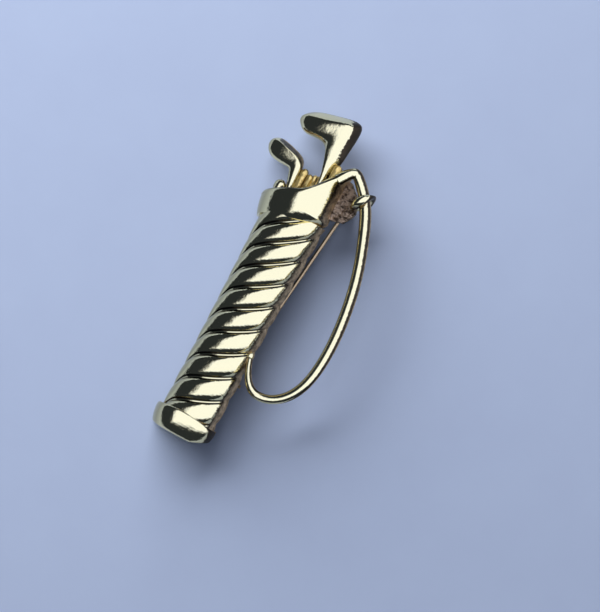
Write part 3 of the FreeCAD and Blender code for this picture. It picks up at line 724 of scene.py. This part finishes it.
putter_shaft, putter_foot, putter_length, putter_reach = -2.55, mouth_floor + 0.8, 7.45, 6.85
putter_back, putter_thickness, putter_wall = 1.35, 3.0, 0.8
putter_stations = (
    ((0.110, -0.051), (-0.055, -0.051), 0.40, 0, 0),
    ((0.175, 0.153), (-0.050, 0.212), 0.50, 0, 0),
    ((0.225, 0.328), (-0.050, 0.577), 0.65, 0, -0.1),
    ((0.275, 0.409), (0.060, 0.810), 0.80, 0.8, -0.4),
    ((0.497, 0.401), (0.376, 0.920), 0.95, 1, -0.48),
    ((0.765, 0.431), (0.735, 1.030), 1.0, 1, -0.45),
    ((0.906, 0.540), (0.886, 0.970), 0.70, 0.5, -0.2),
    ((0.951, 0.664), (0.951, 0.840), 0.30, 0, 0))
putter_mesh = club_mesh(putter_shaft, putter_foot, putter_length, putter_reach, putter_back,
                        putter_thickness, putter_wall, putter_stations)
new_piece("putter", putter_mesh, polished_gold, "plated_casting", "putter_club")

# ---- spare shafts ----------------------------------------------------------------
# The butts of five more clubs stand against the liner. They are small blunt rods with a
# rounded end, cast rough and plated bright. The first stands clear enough to be polished.

butt_radius, butt_rise, butt_dent, butt_rounding = 0.72, 2.0, 0.18, 1.6
butt_steps = 48
# each is its place across the mouth from the left (-1) to the right (1), its rise and its size
butts = ((-0.715, 1.15, 1.45), (-0.179, 2.17, 1.0), (0.066, 1.58, 0.85), (0.217, 1.43, 0.68),
         (0.764, 1.13, 1.11))
for number, (spot, rise, size) in enumerate(butts, 1):
    x = collar_shift + spot * hollow_radius
    radius = size * butt_radius
    top = mouth_y(math.acos(-spot)) + rise * butt_rise
    rows = []
    for step in range(butt_steps + 1):
        climb = step / butt_steps
        y = mouth_floor + (top - mouth_floor) * (1 - (1 - climb) ** butt_rounding)
        reach = radius * math.sqrt(max(0.0, 1 - max(0.0, (y - top + radius) / radius) ** 2))
        row = []
        for angle in turns(butt_steps):
            point = Vector((x + reach * math.cos(angle), y, liner_front + reach * math.sin(angle)))
            dent = crumple(point, butt_dent, number) * min(1.0, reach / radius * 2)
            row.append(point - Vector((math.cos(angle), 0, math.sin(angle))) * max(0.0, dent))
        rows.append(row)
    work = open_mesh(rows)
    close_flat(work)
    new_piece(f"spare_butt_{number}", as_mesh(work),
              polished_gold if number == 1 else rough_gold, "plated_recess",
              f"spare_shaft_{number}")

# ---- strap, hook and ring --------------------------------------------------------
# The shoulder strap is a thick round wire, bent to a bow and soldered at both ends. A hooked
# prong of the casting carries it over the shoulder, and a ring covers where the two meet.

strap_height = 1.3
shoulder = Vector((collar_side, mouth_y(math.pi), strap_height))
hook_reach, hook_fall, hook_root, hook_tip = 3.55, 2.85, 0.85, 1.0
hook_end = shoulder + Vector((hook_reach, -hook_fall, 0))
boss_height, boss_sink = 17.9, 0.38
boss_along = (boss_height - barrel_start) / barrel_length
boss_centre = Vector((barrel_radius + barrel_flare * boss_along ** flare_power - boss_sink,
                      boss_height, strap_height))
ring_offset = Vector((0.45, -1.2, 0))
ring_centre = hook_end + ring_offset
ring_turn, ring_tip = math.radians(-38), math.radians(4)
ring_axis = Vector((math.cos(ring_turn) * math.cos(ring_tip),
                    math.sin(ring_turn) * math.cos(ring_tip), math.sin(ring_tip)))

# Polished gold plate on wire: drawn smooth, so its mirror is clearer and runs in long lines
# Its painted dark and brown reflections start early at the steep right side of the wire
wire_gold = gold_plate("Polished gold plate on brass wire", pale_gold, roughness=0.08, wave=0.02,
                       grain=0.012, hollow_shade=0.5, dark_side_angle=23, brown=34)
wire_sides, strap_rings, hook_rings = 64, 420, 200

tree = bpy.data.node_groups.new("drawn_wire", "GeometryNodeTree")
tree.interface.new_socket("Geometry", in_out="OUTPUT", socket_type="NodeSocketGeometry")
tree.interface.new_socket("Path", in_out="INPUT", socket_type="NodeSocketObject")
tree.interface.new_socket("Sides", in_out="INPUT", socket_type="NodeSocketInt")
tree.interface.new_socket("Rings", in_out="INPUT", socket_type="NodeSocketInt")
given = add(tree, "NodeGroupInput")
path = add(tree, "GeometryNodeObjectInfo", {"Object": given.outputs["Path"]})
line = add(tree, "GeometryNodeResampleCurve", {"Curve": path.outputs["Geometry"],
                                               "Count": given.outputs["Rings"]})
section = add(tree, "GeometryNodeCurvePrimitiveCircle", {"Resolution": given.outputs["Sides"],
                                                         "Radius": 1.0})
wire = add(tree, "GeometryNodeCurveToMesh", {
    "Curve": line, "Profile Curve": section, "Scale": add(tree, "GeometryNodeInputRadius"),
    "Fill Caps": True})
whole = add(tree, "GeometryNodeRealizeInstances", {"Geometry": wire})
painted = add(tree, "GeometryNodeSetMaterial", {"Geometry": whole, "Material": wire_gold})
add(tree, "NodeGroupOutput", {0: painted})
drawn_wire = tree


def wire_mesh(stations, rings):
    """Round wire through these stations, each a point and a radius."""
    curve = bpy.data.curves.new("path", "CURVE")
    curve.dimensions = "3D"
    curve.resolution_u = 32
    line = curve.splines.new("NURBS")
    line.points.add(len(stations) - 1)
    for bend, (point, radius) in zip(line.points, stations):
        bend.co = (*point, 1.0)
        bend.radius = radius
    line.order_u = 4
    line.use_endpoint_u = True
    path = put_in_scene("path", curve)
    mesh = node_mesh(drawn_wire, {"Path": path, "Sides": wire_sides, "Rings": rings})
    bpy.data.objects.remove(path)
    return mesh


def cut_at_ring(mesh, direction):
    """The part of a wire on one side of the ring's middle plane, closed where it is cut."""
    work = bmesh.new()
    work.from_mesh(mesh)
    bmesh.ops.bisect_plane(work, geom=[*work.verts, *work.edges, *work.faces],
                           dist=cut_margin, plane_co=ring_centre,
                           plane_no=ring_axis * direction, clear_inner=True)
    close_flat(work)
    return as_mesh(work)


strap_bow, strap_top, strap_middle, strap_low, strap_end = 11.265, 1.08, 0.99, 0.64, 0.47
# each is a share of the way up from the boss to the hook, a share of the bow, a lift, a radius
strap_stations = [
    (boss_centre + (hook_end - boss_centre) * up + Vector((out * strap_bow, 0, lifted)), radius)
    for up, out, lifted, radius in (
        (1.022, -0.08, 0, strap_top * 0.85), (0.987, 0.03, 0, strap_top * 0.9),
        (0.934, 0.172, 0, strap_top), (0.787, 0.417, 0, strap_middle),
        (0.608, 0.674, 0, strap_middle), (0.392, 0.879, 0, strap_middle),
        (0.198, 0.988, -0.1, strap_middle * 0.97), (0.027, 1.003, -0.3, strap_middle * 0.92),
        (-0.085, 0.895, -0.35, strap_low * 1.35), (-0.150, 0.689, -0.1, strap_low * 1.25),
        (-0.168, 0.456, 0.25, strap_low * 1.18), (-0.142, 0.252, 0.4, strap_low * 1.06),
        (-0.062, 0.089, 0.3, strap_end * 1.15), (0.003, 0.003, 0, strap_end))]
new_piece("strap", cut_at_ring(wire_mesh(strap_stations, strap_rings), 1), wire_gold,
          "plated_casting", "shoulder_strap")
# each is a share of the hook's reach and fall, a height, and how far it has grown to its tip
hook_stations = [
    (shoulder + Vector((out * hook_reach, -down * hook_fall, up)),
     hook_root + grown * (hook_tip - hook_root))
    for out, down, up, grown in (
        (-0.38, 0.92, 1.8, 1.6), (-0.19, 0.54, 1.75, 1.2), (0.02, 0.22, 1.35, 0.5),
        (0.21, 0.03, 0.95, 0.35), (0.45, 0.27, 0.6, 0.6), (0.72, 0.63, 0.3, 0.86),
        (0.95, 0.95, 0.1, 1.0), (1.20, 1.33, 0.0, 1.0), (1.40, 1.70, 0.0, 1.0))]
new_piece("hook", cut_at_ring(wire_mesh(hook_stations, hook_rings), -1), wire_gold,
          "plated_casting", "strap_hook")

# The ring is a thick band, a little narrower across, that thins like a leaf towards its ends
ring_radius, ring_wire, ring_leaf, ring_narrow = 1.7, 0.85, 0.35, 0.85
ring_steps, band_steps = 120, 64
turn_to_axis = ring_axis.to_track_quat("Z", "Y").to_matrix()
rows = []
for around in turns(ring_steps):
    outward = Vector((math.cos(around), math.sin(around), 0))
    share = ring_leaf + (1 - ring_leaf) * math.sin(around) ** 2
    rows.append([ring_centre + turn_to_axis @ (
        outward * (ring_radius + ring_wire * ring_narrow * math.cos(turn))
        + Vector((0, 0, ring_wire * share * math.sin(turn))))
        for turn in turns(band_steps)])
new_piece("ring", as_mesh(open_mesh(rows)), club_gold, "plated_casting", "strap_ring")

# ---- boss ------------------------------------------------------------------------
# A drop of solder that holds the foot of the strap to the barrel, filed round and plated.

boss_radius, boss_filing, boss_steps, boss_sides = 0.76, 0.04, 32, 48
rows = []
for down in turns(boss_steps, math.pi):
    rows.append([boss_centre + Vector((
        math.sin(down) * math.cos(turn), math.sin(down) * math.sin(turn), math.cos(down)))
        * boss_radius * (1 - boss_filing * math.sin(3 * turn + 1) * math.sin(down))
        for turn in turns(boss_sides)])
new_piece("solder_boss", as_mesh(open_mesh(rows)), polished_gold, "plated_casting", "strap_boss")

# ---- web -------------------------------------------------------------------------
# A rough tab of the casting beside the collar, which carries the pin's joint on its underside.
# It lies deep between the polished parts, so its plate is thin, brown and mottled; its dark
# colour is partly painted shade.

shaded_web_plate = gold_plate("Thin brown plate on raw casting in painted shade", "B49C80", roughness=0.36, wave=0.6,
                        grain=0.30, hollow_shade=1.0, stain=0.9)
web_drop, web_height, web_reach, web_thickness, web_overlap = 9.55, 7.8, 3.6, 1.1, 1.2
web_edge, web_dent, web_seed = 0.22, 0.2, 2.0
web_foot = shoulder.y - web_drop
web_outline = ((-web_overlap / web_reach, 0.0), (-web_overlap / web_reach, 1.0), (0.167, 0.987),
               (0.889, 0.679), (1.0, 0.385), (0.667, 0.103))
work = bmesh.new()
corners = [work.verts.new((collar_side + out * web_reach, web_foot + up * web_height, 0))
           for out, up in web_outline]
face = work.faces.new(corners)
risen = bmesh.ops.extrude_face_region(work, geom=[face])
for vert in risen["geom"]:
    if isinstance(vert, bmesh.types.BMVert):
        vert.co.z += web_thickness
bmesh.ops.bevel(work, geom=[*work.verts, *work.edges], offset=web_edge, segments=4,
                profile=0.5, affect="EDGES")
bmesh.ops.triangulate(work, faces=work.faces)
bmesh.ops.subdivide_edges(work, edges=work.edges, cuts=5, use_grid_fill=True)
for vert in work.verts:
    if vert.co.z > 0.3:  # the underside stays flat
        vert.co.z -= web_dent + crumple(vert.co, web_dent, web_seed)
new_piece("joint_tab", as_mesh(work), shaded_web_plate, "plated_recess", "joint_web")

# ---- joint, pin and catch --------------------------------------------------------
# Bought-in findings of plated brass on the back: a riveted joint, a hard drawn stem, and a
# split catch with a thumb tab, on the cast bridge. They are tumbled, so their gold is softer.

# Tumbled plate has a satin sheen, and the drawn stem a duller one, painted browner and darker
# as shade under the strap
tumbled_gold = gold_plate("Tumbled gold plate on brass", "E6D09A", roughness=0.28, wave=0.02,
                          grain=0.012, hollow_shade=0.5)
shaded_stem_gold = gold_plate("Gold plate on drawn wire in painted shade", "B9A079", roughness=0.34, wave=0.01,
                        grain=0.01, hollow_shade=0.3)
for name, material in (("catch_bridge", polished_gold), ("joint_bracket", tumbled_gold),
                       ("joint_rivet", tumbled_gold), ("catch_housing", tumbled_gold),
                       ("catch_rotor", tumbled_gold), ("pin_stem", shaded_stem_gold)):
    node = frame["nodes"][name]
    node.data.materials.clear()
    node.data.materials.append(material)

# ---- light and camera ------------------------------------------------------------
# A broad window beyond the clubs, at the left, and a plain ceiling light the paper. The gold
# mirrors a soft box over its right side and a far window over the clubs, in a dark room.

scene = bpy.context.scene
scene.view_settings.view_transform = "Standard"


def lamp(name, place, width, height, strength):
    """White area lamp of this radiance, aimed at the brooch. It lights what is matt, and the
    gold doesn't mirror it."""
    data = bpy.data.lights.new(name, "AREA")
    data.shape = "RECTANGLE"
    data.size, data.size_y = width, height
    data.energy = strength * math.pi * width * height
    made = put_in_scene(name, data)
    turn = Vector(place).to_track_quat("Z", "Y")
    made.matrix_world = Matrix.Translation(place) @ turn.to_matrix().to_4x4()
    made.visible_camera = False
    made.visible_glossy = False


lamp("window", (-0.45, 0.39, 0.23), width=0.9, height=0.5, strength=7.0)
lamp("ceiling", (0.0, 0.0, 0.9), width=0.9, height=0.9, strength=0.34)

daylight, sheet_steps = "D6DFFF", 48


def diffuser(name, radius, left, right, low, high, feather, strength):
    """Curved sheet of light round the brooch, seen in the gold only. It spans the angles left
    to right from overhead; low and high give its ends along the bag there, at both sides."""
    corners, glow = [], []
    for i in range(sheet_steps + 1):
        over = left + (right - left) * i / sheet_steps
        for j in range(sheet_steps + 1):
            share = i / sheet_steps
            start, end = (a + (b - a) * share for a, b in (low, high))
            tip = start + (end - start) * j / sheet_steps
            over_turn, tip_turn = math.radians(over), math.radians(tip)
            corners.append([radius * c for c in (
                math.sin(over_turn) * math.cos(tip_turn), math.sin(tip_turn),
                math.cos(over_turn) * math.cos(tip_turn))])
            edge = min((over - left) / feather[0], (right - over) / feather[1],
                       (tip - start) / feather[2], (end - tip) / feather[3], 1.0)
            glow.append(edge * edge * (3 - 2 * edge))
    across = sheet_steps + 1
    faces = [(i * across + j, i * across + j + 1, (i + 1) * across + j + 1, (i + 1) * across + j)
             for i in range(sheet_steps) for j in range(sheet_steps)]
    mesh = bpy.data.meshes.new(name)
    mesh.from_pydata(corners, [], faces)
    mesh.attributes.new("glow", "FLOAT", "POINT").data.foreach_set("value", glow)
    material, tree = new_material(name)
    share = add(tree, "ShaderNodeAttribute", attribute_name="glow").outputs["Fac"]
    power = add(tree, "ShaderNodeMath", {0: share, 1: strength}, operation="MULTIPLY")
    light = add(tree, "ShaderNodeEmission", {"Color": linear(daylight), "Strength": power})
    add(tree, "ShaderNodeOutputMaterial", {"Surface": light})
    mesh.materials.append(material)
    sheet = put_in_scene(name, mesh)
    for ray in ("camera", "diffuse", "shadow", "transmission"):
        setattr(sheet, f"visible_{ray}", False)


diffuser("soft_box", 0.6, left=-33, right=89, low=(-46, -14), high=(62, 62),
         feather=(10, 2, 4, 3), strength=1.6)
diffuser("far_window", 0.62, left=5, right=65, low=(69, 69), high=(86, 86),
         feather=(25, 5, 2, 2), strength=1.2)

world = bpy.data.worlds.new("dark room")
world.use_nodes = True
tree = world.node_tree
tree.nodes.clear()
glow = add(tree, "ShaderNodeBackground", {"Color": linear("2A303C"), "Strength": 1.0})
add(tree, "ShaderNodeOutputWorld", {"Surface": glow})
scene.world = world

view_centre = Vector((4.52, -1.61, 4.0)) * MM
view_height, camera_distance, sensor, view_turn = 105.3 * MM, 300 * MM, 36.0, math.radians(28)
lens = bpy.data.cameras.new("camera")
lens.sensor_width = sensor
lens.lens = sensor * camera_distance / view_height
camera = put_in_scene("camera", lens)
camera.location = view_centre + Vector((0, 0, camera_distance))
camera.rotation_euler = (0, 0, view_turn)
scene.camera = camera
